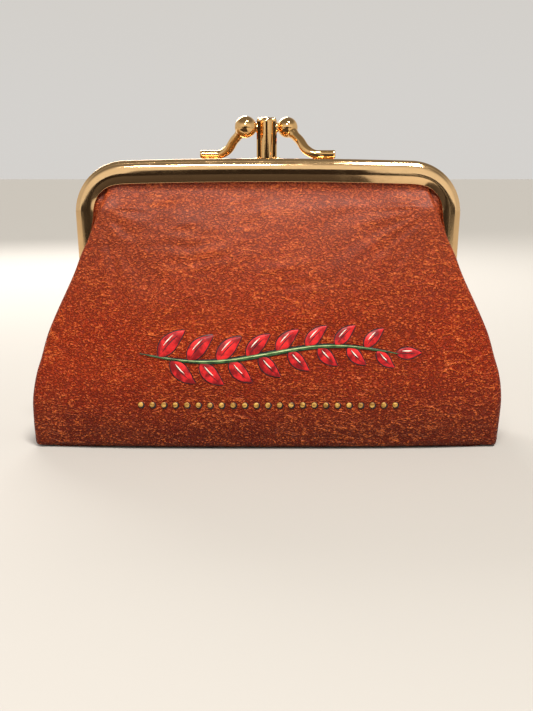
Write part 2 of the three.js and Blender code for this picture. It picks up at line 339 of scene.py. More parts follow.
def colour_mix(tree, share, a, b, blend="MIX"):
    made = node(tree, "ShaderNodeMix", {0: share, 6: a, 7: b}, data_type="RGBA", blend_type=blend)
    return made.outputs[2]


def value_range(tree, value, low, high, to_low=0.0, to_high=1.0):
    inputs = {0: value, 1: low, 2: high, 3: to_low, 4: to_high}
    return node(tree, "ShaderNodeMapRange", inputs, interpolation_type="SMOOTHSTEP").outputs[0]


def new_group(name, sockets_in, sockets_out):
    """A shader node group with named sockets: (name, kind, default) in and (name, kind) out."""
    group = bpy.data.node_groups.new(name, "ShaderNodeTree")
    for label, kind, default in sockets_in:
        socket = group.interface.new_socket(label, in_out="INPUT", socket_type=kind)
        socket.default_value = default
    for label, kind in sockets_out:
        group.interface.new_socket(label, in_out="OUTPUT", socket_type=kind)
    return group, group.nodes.new("NodeGroupInput"), group.nodes.new("NodeGroupOutput")


def use_group(tree, group, **inputs):
    made = tree.nodes.new("ShaderNodeGroup")
    made.node_tree = group
    for key, value in inputs.items():
        socket = made.inputs[key.replace("_", " ")]
        if isinstance(value, bpy.types.NodeSocket):
            tree.links.new(value, socket)
        else:
            socket.default_value = value
    return made


def new_material(name, **constants):
    """A material, its tree and its shader, with constant values set on the shader's own sockets."""
    material = bpy.data.materials.new(name)
    material.use_nodes = True
    tree = material.node_tree
    shader = tree.nodes["Principled BSDF"]
    for key, value in constants.items():
        shader.inputs[key.replace("_", " ")].default_value = value
    return material, tree, shader


def emboss(tree, shader, height, strength, depth):
    """Raises a shader's surface by a height from 0 to 1; depth is in metres."""
    bump = node(tree, "ShaderNodeBump", {"Strength": strength, "Distance": depth, "Height": height})
    tree.links.new(bump.outputs[0], shader.inputs["Normal"])


# ---------- shared surface effects ----------
def grain_group():
    """Pebbled grain: rounded cells, a net of fine ridges between them, and drawn-out folds in places; besides
    its Height it gives masks for painted shade in the creases and a painted highlight on the crests.

    Every Scale in it is a share of the group's own Scale, and reaches are in metres.
    """
    group, given, result = new_group(
        "pebbled_grain",
        [("Scale", "NodeSocketFloat", 1000.0), ("Shift", "NodeSocketFloat", 0.0)],
        [("Height", "NodeSocketFloat"), ("Crease shade", "NodeSocketFloat"), ("Crest highlight", "NodeSocketFloat")],
    )
    scale = given.outputs["Scale"]
    moved = vector_math(group, "ADD", object_place(group), given.outputs["Shift"])

    def share_of_scale(share):
        return math_node(group, "MULTIPLY", scale, share)

    def swayed(share, reach, stretch):
        """The place pushed about by slow noise, then drawn out along one way."""
        sway = noise_node(group, moved, share_of_scale(share), Detail=1.5).outputs["Color"]
        pull = vector_math(group, "SCALE", vector_math(group, "SUBTRACT", sway, (0.5, 0.5, 0.5)), reach)
        return vector_math(group, "MULTIPLY", vector_math(group, "ADD", moved, pull), stretch)

    def fine_lines(noise_value, width):
        """Thin ridges along the places where a noise crosses its middle value."""
        off_middle = math_node(group, "ABSOLUTE", math_node(group, "SUBTRACT", noise_value, 0.5))
        return value_range(group, off_middle, width, 0.0)

    near = swayed(0.3, 0.0012, (0.62, 0.8, 1.0))
    worms = noise_node(group, near, scale, Detail=1.0, Roughness=0.5, Distortion=0.25).outputs["Fac"]
    net = fine_lines(worms, 0.11)
    cell_inputs = {"Vector": near, "Scale": scale}
    cells = node(group, "ShaderNodeTexVoronoi", cell_inputs, feature="DISTANCE_TO_EDGE").outputs["Distance"]
    pebble = value_range(group, cells, 0.0, 0.28)
    drawn = swayed(0.05, 0.009, (0.2, 0.6, 1.0))
    fans = noise_node(group, drawn, share_of_scale(0.48), Detail=0.5, Distortion=0.1).outputs["Fac"]
    gate = noise_node(group, moved, share_of_scale(0.05), Detail=1.0).outputs["Fac"]
    folds = math_node(group, "MULTIPLY", fine_lines(fans, 0.07), value_range(group, gate, 0.4, 0.58))

    height = weighed_sum(group, (net, 0.5), (pebble, 0.3), (folds, 0.5))
    lit = weighed_sum(group, (net, 0.46), (pebble, 0.36), (folds, 0.34))
    group.links.new(height, result.inputs["Height"])
    # painted shade where the relief would catch least light, and a painted highlight where it would catch
    # most
    group.links.new(value_range(group, lit, 0.42, 0.1), result.inputs["Crease shade"])
    group.links.new(value_range(group, lit, 0.4, 1.0), result.inputs["Crest highlight"])
    return group


def patches_group():
    """Broad cloudy variation, for handled leather, tarnish or thin paint."""
    group, given, result = new_group(
        "soft_patches",
        [("Scale", "NodeSocketFloat", 40.0), ("High", "NodeSocketFloat", 1.0)],
        [("Mask", "NodeSocketFloat")],
    )
    scale = given.outputs["Scale"]
    cloud = noise_node(group, object_place(group), scale, Detail=4.0, Roughness=0.6).outputs["Fac"]
    group.links.new(value_range(group, cloud, 0.32, 0.68, 0.0, given.outputs["High"]), result.inputs["Mask"])
    return group


def marks_group():
    """Fine parallel marks, for brushed paint and polishing lines; Along is the way they run."""
    group, given, result = new_group(
        "fine_marks",
        [("Scale", "NodeSocketFloat", 900.0), ("Along", "NodeSocketVector", (0.15, 1.0, 1.0))],
        [("Height", "NodeSocketFloat")],
    )
    drawn = vector_math(group, "MULTIPLY", object_place(group), given.outputs["Along"])
    marks = noise_node(group, drawn, given.outputs["Scale"], Detail=3.0).outputs["Fac"]
    group.links.new(marks, result.inputs["Height"])
    return group


GRAIN = grain_group()
PATCHES = patches_group()
MARKS = marks_group()


def patches(tree, scale, high=1.0):
    return use_group(tree, PATCHES, Scale=scale, High=high).outputs["Mask"]


def fine_marks(tree, scale, along):
    return use_group(tree, MARKS, Scale=scale, Along=along).outputs["Height"]


# ---------- materials ----------
CREASE_SHADE = (0.06, 0.005, 0.0008, 1)  # the leather's tones, from the painted shade in its creases to the painted highlight on its crests
# painted shade that makes the leather darker towards the base; also the tone of random darker patches
FOOT_SHADE_AND_PATCH_TONE = (0.095, 0.006, 0.0004, 1)
BODY = (0.27, 0.0165, 0.0006, 1)
# painted light that makes the leather lighter towards the top
TOP_LIGHT_TONE = (0.33, 0.046, 0.009, 1)
# painted highlight on the grain's crests, with some of the wax's own paler haze; also the tone of random
# paler patches
CREST_HIGHLIGHT_AND_PATCH_TONE = (0.64, 0.145, 0.03, 1)
GRAIN_SCALE = 1500.0
GRAIN_DEPTH = 0.0004  # this and the heights in the materials are in metres
THREAD_PITCH = 0.00055


def leather_material(name, shift):
    """Waxed pebbled leather, with painted shade darkening it towards the base and in its creases, painted
    light brightening it towards the top, and a painted highlight on its crests.
    """
    material, tree, shader = new_material(name, Coat_Roughness=0.42, Specular_IOR_Level=0.14)
    grain = use_group(tree, GRAIN, Scale=GRAIN_SCALE, Shift=shift).outputs
    height = node(tree, "ShaderNodeSeparateXYZ", {0: object_place(tree)}).outputs["Z"]
    # painted shade low down and painted light high up, set by height
    lower = colour_mix(tree, value_range(tree, height, 0.001, 0.024), FOOT_SHADE_AND_PATCH_TONE, BODY)
    tone = colour_mix(tree, value_range(tree, height, 0.024, 0.066), lower, TOP_LIGHT_TONE)
    layers = [  # (where it shows, how strongly, its tone), each laid over the ones before: random paler and darker patches, then the painted highlight on the crests and the painted shade in the creases
        (patches(tree, 55.0), 0.08, CREST_HIGHLIGHT_AND_PATCH_TONE), (patches(tree, 24.0), 0.3, FOOT_SHADE_AND_PATCH_TONE),
        (grain["Crest highlight"], 0.72, CREST_HIGHLIGHT_AND_PATCH_TONE), (grain["Crease shade"], 0.6, CREASE_SHADE),
    ]
    for mask, strength, colour in layers:
        tone = colour_mix(tree, math_node(tree, "MULTIPLY", mask, strength), tone, colour)
    tree.links.new(tone, shader.inputs["Base Color"])
    tree.links.new(value_range(tree, grain["Height"], 0.1, 1.1, 0.6, 0.32), shader.inputs["Roughness"])
    tree.links.new(value_range(tree, height, 0.03, 0.066, 0.0, 0.24), shader.inputs["Coat Weight"])
    emboss(tree, shader, grain["Height"], 1.0, GRAIN_DEPTH)
    return material


def two_tone(tree, shader, share, first, second):
    """Colours a shader between two tones."""
    tree.links.new(colour_mix(tree, share, (*first, 1), (*second, 1)), shader.inputs["Base Color"])


def gold_material(name, colour, roughness):
    """Polished gold plate with fine rubbing marks and a faint cloudy haze."""
    material, tree, shader = new_material(name, Metallic=1.0)
    haze = patches(tree, 120.0)
    two_tone(tree, shader, haze, colour, tuple(0.9 * c for c in colour))
    tree.links.new(value_range(tree, haze, 0.0, 1.0, roughness, roughness + 0.07), shader.inputs["Roughness"])
    emboss(tree, shader, fine_marks(tree, 2600.0, (0.12, 1.0, 1.0)), 0.12, 0.00002)
    return material


def cloth_material(name, dark, light):
    """Close plain weave: two sets of threads, over and under."""
    material, tree, shader = new_material(name, Roughness=0.85, Sheen_Weight=0.25)
    parts = node(tree, "ShaderNodeSeparateXYZ", {0: object_place(tree)}).outputs
    turns = 2 * math.pi / THREAD_PITCH
    across, rising = [math_node(tree, "SINE", math_node(tree, "MULTIPLY", parts[k], turns)) for k in "XZ"]
    over = value_range(tree, math_node(tree, "MULTIPLY", across, rising), -1.0, 1.0)
    two_tone(tree, shader, weighed_sum(tree, (over, 0.6), (patches(tree, 90.0), 0.4)), dark, light)
    emboss(tree, shader, over, 0.5, 0.00008)
    return material


def board_material():
    """Grey-brown paper board with visible fibres."""
    material, tree, shader = new_material("paper_board", Roughness=0.9)
    fibres = fine_marks(tree, 1400.0, (0.35, 1.0, 1.0))
    share = weighed_sum(tree, (fibres, 0.5), (patches(tree, 70.0, 0.5), 1.0))
    two_tone(tree, shader, share, (0.2, 0.14, 0.08), (0.42, 0.33, 0.22))
    emboss(tree, shader, fibres, 0.4, 0.00006)
    return material


def paint_material(name, dark, light, along=(0.3, 1.0, 1.0), scale=1500.0):
    """Brushed acrylic paint in two close colours, under a clear varnish."""
    material, tree, shader = new_material(
        "paint_" + name, Roughness=0.42, Coat_Weight=0.08, Coat_Roughness=0.2, Specular_IOR_Level=0.25
    )
    brushed = fine_marks(tree, scale, along)
    two_tone(tree, shader, value_range(tree, brushed, 0.36, 0.62), dark, light)
    emboss(tree, shader, brushed, 0.55, 0.00008)
    return material


GOLD = gold_material("gold_plate", (0.91, 0.60, 0.30), 0.07)
DEEP_GOLD = gold_material("gold_plate_clasp", (0.88, 0.54, 0.22), 0.06)
FRONT_LEATHER = leather_material("leather_front", 0.0)
REAR_LEATHER = leather_material("leather_rear", 0.37)
SIDE_LEATHER = leather_material("leather_sides", 0.81)
LINING = cloth_material("lining_cloth", (0.012, 0.008, 0.006), (0.055, 0.036, 0.026))
BOARD = board_material()


# ---------- the bag's shape ----------
# Each curve below is given by (height, value) knots.
bag_half = through([
    (0, 60.8), (7, 61.3), (14, 61.6), (20, 60.8), (24, 59.6), (30, 57.9), (36, 55.4), (42, 52.6),
    (47, 50.3), (50, 49.1), (52, 48.2), (54.5, 47.0), (57, 45.9), (60, 44.8), (62.3, 43.9), (64.5, 43.2),
    (67, 42.3), (70, 41.8),
])
left_spread = through([(0, 1.0), (6, 0.9), (12, 0.55), (18, 0.15), (24, 0)])


def half_width(z, side):
    """Half width of the bag at one side; the left foot spreads a little further than the right."""
    return bag_half(z) + (0 if side > 0 else left_spread(z))


middle_depth = through([
    (0, 15.2), (5, 17.2), (15, 18.3), (28, 17.6), (42, 14.6), (56, 10.6), (64, 7.9), (68, 6.4),
    (70, TUCK_DEPTH), (76, TUCK_DEPTH),
])
edge_depth = through([
    (0, 13.2), (8, 13.8), (24, 12.8), (36, 10.9), (44, 9.7), (50, 9.5), (57, 9.4), (61, 9.2),
    (64, 8.9), (66.5, 8.2), (68.5, 6.8), (70, TUCK_DEPTH), (72, TUCK_DEPTH),
])
valley_half = through([(3, 59.4), (13, 54.6), (24, 49.1), (34, 43.8), (38, 42.6)])
CORNER_Z = FRAME_TOP - FRAME_CROWN - FRAME_CORNER  # height of the centre of the frame's corner arc
CORNER_X = FRAME_HALF - FRAME_CORNER


def arch_half(z, inset):
    """Half width of the frame's outer line at a height, moved inwards by inset."""
    radius = FRAME_CORNER - inset
    rise = np.clip(z - CORNER_Z, 0, radius)
    return CORNER_X + np.sqrt(np.maximum(radius ** 2 - rise ** 2, 0))


def inside_frame(x, z):
    """Distance inwards from the inner edge of the frame's band; negative under the band."""
    x = np.abs(x)
    across, tall = FRAME_CORNER - ARM_BAND, FRAME_CORNER - BAND
    arm = CORNER_X + across - x
    bar = CORNER_Z + tall + FRAME_CROWN * (1 - (x / CORNER_X) ** 2) - z
    corner = tall * (1 - np.hypot((x - CORNER_X) / across, (z - CORNER_Z) / tall))
    return np.where((x > CORNER_X) & (z > CORNER_Z), corner, np.minimum(arm + 0 * z, bar + 0 * x))


def panel_depth(x, z):
    """Depth of a panel's face in front of the middle plane, before its creases."""
    share = np.clip(np.abs(x) / bag_half(z), 0, 1) ** 3.2
    full = mix(middle_depth(z), edge_depth(z), share)
    gathered = ease(z, 57, 63)  # the bar holds the leather back only near the top
    from_bar = TUCK_TOP - BAND + TUCK_GAP - z
    room = ease(from_bar, -0.4, 7.0) * ease(inside_frame(x, z), -0.3, 1.2)
    return mix(full, mix(TUCK_DEPTH, full, room), gathered)


class Creases:
    """The hand-softened surface of one panel: dents, creases and folds, in millimetres outwards."""

    DENTS, SMALL_DENTS, LINES, GATHERS = 0.55, 0.24, 0.3, 0.62  # their heights

    def __init__(self, seed):
        self.seed = seed

    def gathers(self, x, z, side):
        """Fine folds that fan out from where a frame corner grips the leather."""
        grip_x, grip_z = 45, 63
        dx, dz = (x - side * grip_x) * side, z - grip_z
        reach = np.hypot(dx, dz)
        angle = np.arctan2(dz, -dx)
        fold = noise_at(angle * 7.5, reach / 17, self.seed + side)
        return self.GATHERS * fold * np.exp(-reach / 24) * ease(reach, 2, 9)

    def __call__(self, x, z):
        dents = self.DENTS * noise_at(x / 24, z / 17, self.seed)
        dents = dents + self.SMALL_DENTS * noise_at(x / 10, z / 8, self.seed + 7)
        lines = self.LINES * noise_at(x / 9.5 + z / 21, z / 2.3 - x / 17, self.seed + 3)
        busy = ease(noise_at(x / 19, z / 15, self.seed + 11), -0.25, 0.35)
        folds = self.gathers(x, z, 1) + self.gathers(x, z, -1)
        free = inside_frame(x, z) + 12 * ease(-z, -60, -52)  # the frame flattens only the leather near it
        shown = ease(z, 1.5, 7) * ease(free, 0.5, 6) * ease(bag_half(z) - np.abs(x), 0.2, 4)
        return (dents + lines * busy + folds) * shown


FRONT_CREASES = Creases(2.0)
REAR_CREASES = Creases(41.0)


def front_face(x, z, lift):
    """Points lifted off the front panel's face."""
    x, z = np.broadcast_arrays(np.asarray(x, float), np.asarray(z, float))
    depth = panel_depth(x, z) + FRONT_CREASES(x, z) + lift
    return np.stack([x, -depth, z], axis=-1)


FACE_COLUMNS = 80  # from the middle to the turned edge
TURN_COLUMNS = 9
RETURN_COLUMNS = 10
LOW_TURN, HIGH_TURN, TUCKED_TURN = 2.2, 0.95, 0.25  # radii of the turned edge
ROUTE_SHARES = (0.35, 0.6, 0.85, 1)


def half_section(z, creases, side):
    """One side's points from the middle of a panel, round its turned edge and back.

    Low down the edge goes back to the side seam. Higher it is hemmed, then dives behind the frame's
    arm, and at the top it lies flat in the channel.
    """
    upper = ease(z, 42, 50)
    dive = ease(z, 50, 53)
    tucked = ease(z, 66.5, 69.3)
    radius = mix(mix(LOW_TURN, HIGH_TURN, upper), TUCKED_TURN, tucked)
    in_channel = arch_half(z, 2.4 if z > CORNER_Z else 4.4)
    wide = mix(half_width(z, side), in_channel, ease(z, 67.5, 70.5))
    flat = wide - radius
    share = np.linspace(0, 1, FACE_COLUMNS)
    x = flat * share
    depth = panel_depth(x, z) + creases(side * x, np.full_like(x, z))
    face = np.column_stack([x, depth])
    swing = np.radians(mix(mix(105, 180, upper), 12, tucked)) * np.linspace(0, 1, TURN_COLUMNS + 1)[1:]
    turn = np.column_stack([flat + radius * np.sin(swing), depth[-1] - radius * (1 - np.cos(swing))])
    start = turn[-1]
    back = start[1]
    lip = FRAME_HALF - ARM_BAND
    seam = np.array([wide - 0.8, edge_depth(z) - SEAM_STEP])
    lower = [mix(start, seam, t) for t in ROUTE_SHARES]
    hemmed = [np.array([mix(start[0], lip - 0.4, t), back]) for t in ROUTE_SHARES]
    diving = [
        np.array([min(start[0], lip - 0.5), back]),
        np.array([lip - 0.75, mix(back, TUCK_DEPTH, 0.6)]),
        np.array([lip + 0.1, TUCK_DEPTH]),
        np.array([lip + 1.4, TUCK_DEPTH]),
    ]
    under = [np.array([wide + mix(0, 0.3, t), TUCK_DEPTH]) for t in (0.3, 0.5, 0.8, 1)]
    route = [
        mix(mix(a, mix(b, c, dive), upper), d, tucked) for a, b, c, d in zip(lower, hemmed, diving, under)
    ]
    returning = spline([start, *route], RETURN_COLUMNS + 1)[1:]
    return np.concatenate([face, turn, returning])


def panel_grid(creases, facing):
    """Grid of a whole panel's outer face; facing is -1 for the front and 1 for the rear."""
    free = np.linspace(PANEL_FOOT + ROLL, GRIP_START, 84)
    gripped = np.linspace(GRIP_START + 0.5, TUCK_TOP, 26)
    heights = np.concatenate([free, gripped])
    rows = []
    for z in heights:
        right, left = half_section(z, creases, 1), half_section(z, creases, -1)
        section = np.concatenate([left[:0:-1] * [-1, 1], right])
        rows.append(np.column_stack([section[:, 0], facing * section[:, 1], np.full(len(section), z)]))
    lowest = rows[0]
    outward = np.gradient(lowest[:, :2], axis=0) @ np.array([[0, -1], [1, 0]]) * -facing
    outward /= np.linalg.norm(outward, axis=1, keepdims=True)
    reach = np.abs(lowest[:, 0]).max()
    share = 1 - 0.58 * ease(np.abs(lowest[:, :1]), reach - 7, reach - 2)  # the corners roll in less
    roll = []
    for angle in np.radians(np.linspace(90, 9, 9)):
        ring = lowest.copy()
        ring[:, :2] -= outward * share * [0.55, 1] * ROLL * (1 - math.cos(angle))
        ring[:, 2] = PANEL_FOOT + ROLL * (1 - math.sin(angle))
        roll.append(ring)
    return np.array(roll + rows)


def bend_with(made):
    """Bakes the piece's placement into its mesh."""
    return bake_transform(made)


def panel(which, facing, creases, leather):
    grid = panel_grid(creases, facing)
    made = sheet_piece(which + "_leather_panel", grid, LEATHER, leather, inward=facing)
    nodes = [which + "_panel_" + part for part in ("upper", "fold", "lower")]
    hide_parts(*nodes)
    return bend_with(made)


def gusset(which, facing, side, leather):
    """A side wall of one compartment: from the panel's seam in to the fold beside the divider."""
    columns = 36
    fullest = np.sin(np.linspace(0, math.pi, columns))  # the wrinkles fade out at both edges
    rows = []
    for z in np.linspace(PANEL_FOOT + 1.6, GUSSET_TOP, 44):
        wide, deep, valley = half_width(z, side), edge_depth(z) - SEAM_STEP, valley_half(z)
        route = [
            (wide - 1.7, deep + 0.1), (wide - 0.9, deep - 0.5), (wide - 1.0, deep - 1.5),
            (mix(valley, wide - 1.2, 0.62), deep * 0.62), (mix(valley, wide - 1.2, 0.22), deep * 0.24),
            (valley, 0.75),
        ]
        section = spline(route, columns)
        section[:, 0] += 0.25 * noise_at(section[:, 1] / 4, z / 6, 60 + 3 * side + facing) * fullest
        rows.append(np.column_stack([side * section[:, 0], facing * section[:, 1], np.full(columns, z)]))
    foot = rows[0].copy()
    foot[:, 0] -= side * 1.0
    foot[:, 2] = PANEL_FOOT + 0.3
    grid = np.array([foot, *rows])
    made = sheet_piece(f"{which}_gusset_{hand(side)}", grid, LEATHER, leather, inward=side * facing)
    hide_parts("side_wall_" + hand(side))
    return bend_with(made)


def lining(which, facing):
    """Cloth behind a panel, from the base up to the frame."""
    columns, gap = 70, 0.75
    rows = []
    for z in np.linspace(LINING_FOOT, LINING_TOP, 60):
        reach = bag_half(z) - 3.1 if z < 60 else min(bag_half(z), arch_half(z, BAND)) - 1.6
        x = np.linspace(-reach, reach, columns)
        ripple = 0.12 * noise_at(x / 6, z / 9, 90 + facing)
        depth = panel_depth(x, z) - LEATHER - gap + ripple
        rows.append(np.column_stack([x, facing * depth, np.full(columns, z)]))
    made = sheet_piece(which + "_lining", np.array(rows), CLOTH, LINING, inward=facing)
    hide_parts(which + "_lining_lower", which + "_lining_upper")
    return bend_with(made)


def lining_floor(which, facing):
    """Cloth over the stiffening board, in the bottom of one compartment, curling up at its edges."""
    x = np.linspace(-FLOOR_HALF, FLOOR_HALF, 60)
    rows = []
    for y in np.linspace(FLOOR_NEAR, FLOOR_FAR, 16):
        height = 2.55 + 0.35 * (np.abs(x) / FLOOR_HALF) ** 6 + 0.5 * ease(y, 9.5, FLOOR_FAR)
        rows.append(np.column_stack([x, np.full(len(x), facing * y), height]))
    made = sheet_piece(which + "_lining_floor", np.array(rows), CLOTH, LINING, inward=-facing)
    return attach(made, "bag")


def divider():
    """The stiff cloth-covered panel between the compartments, held in the middle frame."""
    columns = 80
    rows = []
    for z in np.linspace(LINING_FOOT + 0.3, FRAME_TOP - 3.0, 70):
        lower = min(valley_half(z) - 0.9, DIVIDER_HALF)
        held = arch_half(z, MIDDLE_DROP + 1.8)
        reach = held if z > 52 else mix(lower, DIVIDER_HALF, ease(z, 44, 50))
        x = np.linspace(-reach, reach, columns)
        wave = 0.22 * noise_at(x / 20, z / 16, 5.5) * np.cos(x / reach * math.pi / 2)
        rows.append(np.column_stack([x, wave - DIVIDER_THICKNESS / 2, np.full(columns, z)]))
    made = sheet_piece("divider", np.array(rows), DIVIDER_THICKNESS, LINING, inward=-1)
    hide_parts("divider_panel")
    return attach(made, "bag")


def rounded_plate(half_x, half_y, corner, steps):
    """Outline of a rounded rectangle about the middle."""
    quarters = ((1, 1), (-1, 1), (-1, -1), (1, -1))
    return filleted([(half_x * a, half_y * b, corner) for a, b in quarters], steps)


def base_sole():
    """The flat leather base, with rounded edges, that the purse stands on."""
    outline = rounded_plate(SOLE_HALF, SOLE_DEPTH, SOLE_CORNER, 8)
    edge = ((2.0, 0.0), (0.35, 0.0), (0.1, 0.12), (0.0, 0.4), (0.0, 1.0), (0.15, 1.25), (2.0, 1.28))
    rings = []
    for inset, z in edge:
        scale = 1 - inset / np.array([SOLE_HALF, SOLE_DEPTH])
        rings.append(np.column_stack([outline * scale, np.full(len(outline), z)]))
    made = swept("base_leather", rings, SIDE_LEATHER)
    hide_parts("base_panel")
    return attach(made, "bag")


# ---------- metal frames ----------
def arch_line(drop, toe_in=ARM_TOE_IN):
    """Points (x, z) and inward directions along a frame's outer line, from the left foot to the right."""
    half, corner = FRAME_HALF - drop, FRAME_CORNER - drop
    bar_half = half - corner
    arm = [(half - toe_in * t, mix(CORNER_Z, ARM_END, t)) for t in np.linspace(1, 0, 9)]
    angles = np.linspace(0, math.pi / 2, 19)[1:]
    arc = [(bar_half + corner * math.cos(a), CORNER_Z + corner * math.sin(a)) for a in angles]
    level = CORNER_Z + corner
    bar = [(bar_half * t, level + FRAME_CROWN * (1 - t * t)) for t in np.linspace(1, 0, 22)[1:]]
    right = np.array(arm + arc + bar)
    line = np.concatenate([right[:-1] * [-1, 1], right[::-1]])
    along = np.gradient(line, axis=0)
    inward = np.column_stack([along[:, 1], -along[:, 0]])
    return line, inward / np.linalg.norm(inward, axis=1, keepdims=True)


def frame_sweep(name, profile, drop, facing, arm_band=BAND):
    """Sweeps a (depth, inwards) profile along the arch; arm_band is its width down the arms."""
    line, inward = arch_line(drop)
    rings = []
    for point, direction in zip(line, inward):
        narrowed = mix(1, arm_band / BAND, ease(abs(direction[0]), 0.1, 0.95))
        place = point + profile[:, 1:] * direction * narrowed
        rings.append(np.column_stack([place[:, 0], facing * profile[:, 0], place[:, 1]]))
    return swept(name, rings, GOLD, angle=50)


def outer_frame(which, facing):
    """A channel whose broad face is gently rounded, with a narrow bevel along its outer edge."""
    front, back = CHANNEL_FRONT, CHANNEL_BACK
    steps = [0.95, 1.05, 1.2, 1.4, 1.65, 1.95, *np.linspace(2.3, 5.85, 11)]
    face = [(front - 0.065 * (u - 3.4) ** 2 - 0.22 * math.exp((0.95 - u) / 0.28), u, 0) for u in steps]
    lip, bevel = face[-1][0], face[0][0]
    inside = back + CHANNEL_WALL
    profile = filleted([
        (back, BAND - 0.65, 0.3), (back, 0.0, 0.55), (bevel - 0.75, 0.0, 0.45), (bevel - 0.08, 0.72, 0.25),
        *face, (lip - 0.08, BAND, 0.15), (lip - 0.6, BAND, 0.2), (front - 0.95, 1.9, 1.2),
        (front - 1.7, 0.8, 0.5), (inside, 0.8, 0.3), (inside, BAND - 0.65, 0.3),
    ])
    made = frame_sweep(which + "_channel", profile, 0.0, facing, ARM_BAND)
    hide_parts(which + "_frame")
    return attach(made, which + "_frame")


def inner_frame():
    """The plain channel between the two outer frames."""
    half, inside, lip = MIDDLE_HALF, MIDDLE_HALF - CHANNEL_WALL, BAND - 1
    profile = filleted([
        (-half, lip, 0.25), (-half, 0, 0.6), (half, 0, 0.6), (half, lip, 0.25),
        (inside, lip, 0.25), (inside, 0.85, 0.3), (-inside, 0.85, 0.3), (-inside, lip, 0.25),
    ])
    made = frame_sweep("middle_channel", profile, MIDDLE_DROP, -1)
    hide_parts("middle_frame")
    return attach(made, "bag")


# ---------- hinge ----------
def hinge_lug(which, side):
    """A flat lug with a round eye, its edges broken by polishing."""
    name = f"{which}_lug_{side}"
    low, high = node_box(name)
    facing = -1 if which == "front" else 1
    eye, top = HINGE_Z - low[2], high[2]
    if which == "middle":
        near, far = -1.05, 1.05  # depths of the lug's stem
        eye_start, eye_end = 62, -242
    else:
        near, far = CHANNEL_BACK + 0.75, CHANNEL_BACK + 3.45
        eye_start, eye_end = 8, -245
    angles = np.linspace(math.radians(eye_start), math.radians(eye_end), 40)
    ring = [(eye * math.cos(a), HINGE_Z + eye * math.sin(a)) for a in angles]
    outline = np.array([(near, top), (far, top), (far, HINGE_Z + 2.6), *ring, (near, HINGE_Z + 3.0)])
    inside = outline.mean(axis=0)
    rings = []
    for share, inset in ((0, 0.14), (0.12, 0.0), (0.88, 0.0), (1, 0.14)):
        shrunk = inside + (outline - inside) * (1 - inset / 3.0)
        x = mix(low[0], high[0], share)
        rings.append(np.column_stack([np.full(len(shrunk), x), facing * shrunk[:, 0], shrunk[:, 1]]))
    made = swept(name + "_plate", rings, GOLD, angle=50)
    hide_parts(name)
    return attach(made, "bag" if which == "middle" else which + "_frame")


def hinge_rivet(side):
    """A rivet with a domed head at each end."""
    name = "hinge_rivet_" + side
    low, high = node_box(name)
    radius, shank, head = (high[2] - low[2]) / 2, 1.0, 0.7
    length = high[0] - low[0]
    dome = [(head * (1 - math.cos(a)), radius * math.sin(a)) for a in np.linspace(0.02, math.pi / 2, 9)]
    profile = [(0.0, 0.001), *dome, (head + 0.05, shank)]
    profile += [(length - h, r) for h, r in reversed(profile)]
    made = turned(name + "_turned", profile, (low[0], 0, HINGE_Z), (1, 0, 0), DEEP_GOLD)
    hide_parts(name)
    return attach(made, "bag")


# ---------- clasp ----------
ball_low, ball_high = node_box("front_clasp_ball")
BALL = (ball_low + ball_high) / 2 + [-0.4, 0, -0.8]  # a front ball's centre, bent a little low
NECK = np.array([7.3, 0.1, 81.5])  # where an arm meets its ball
BALL_R = (ball_high[0] - ball_low[0]) / 2
BALL_EXTRA = {"front": 0.02, "rear": 0.17}  # added to the radius, as the two balls differ a little
ROD_R = 1.08
FOOT = np.array([17.6, -4.3, FRAME_TOP + 1.07])  # the outer end of an arm
CLASP_SHIFT = np.array([-0.35, 0, 0])  # the clasp is brazed a little off the middle
BRAZE_OUTER, BRAZE_INNER = 17.4, 12.0
BRAZE_HALF, BRAZE_RISE = 1.0, 0.62


def half_turned(points, which):
    """The rear set is the front set turned half round the Z axis."""
    return np.asarray(points) * ([1, 1, 1] if which == "front" else [-1, -1, 1]) + CLASP_SHIFT


def clasp_ball(which):
    centre = half_turned(BALL, which)
    neck = half_turned(NECK, which)
    radius = BALL_R + BALL_EXTRA[which]
    angles = np.linspace(0, math.pi, 33)
    profile = [(-radius * math.cos(a), max(radius * math.sin(a), 0.001)) for a in angles]
    made = turned(which + "_ball", profile, centre, centre - neck, DEEP_GOLD, sides=56)
    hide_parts(which + "_clasp_ball")
    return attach(made, which + "_frame")


def clasp_arm(which):
    """A bent rod from its brazed foot up to a collar under the ball."""
    down = (NECK - BALL) / np.linalg.norm(NECK - BALL)
    neck = BALL + down * (BALL_R - 0.25)
    bend = FOOT + [-8.8, 2.5, 3.4]
    flat_part = [FOOT, FOOT + [-2.6, 0, 0], FOOT + [-5.3, 0.05, 0.1], FOOT + [-7.4, 1.0, 1.35]]
    path = spline([*flat_part, bend, mix(bend, neck, 0.55), neck], 64)
    share = np.linspace(0, 1, len(path))
    radii = ROD_R * (1 + 0.14 * ease(share, 0.2, 0.5) + 0.22 * ease(share, 0.84, 1.0))
    rings = tube_rings(half_turned(path, which), radii, 28)
    middle = rings[0].mean(axis=0)
    outward = half_turned(np.array([1.0, 0, 0]), which) - CLASP_SHIFT
    domed = ((0.05, 0.28), (0.8, 0.26), (0.95, 0.15))  # (share of the rod's radius, reach past its foot)
    end = [middle + (rings[0] - middle) * part + outward * out for part, out in domed]
    made = swept(which + "_arm", [*end, *rings], DEEP_GOLD)
    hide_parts(which + "_clasp_arm")
    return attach(made, which + "_frame")


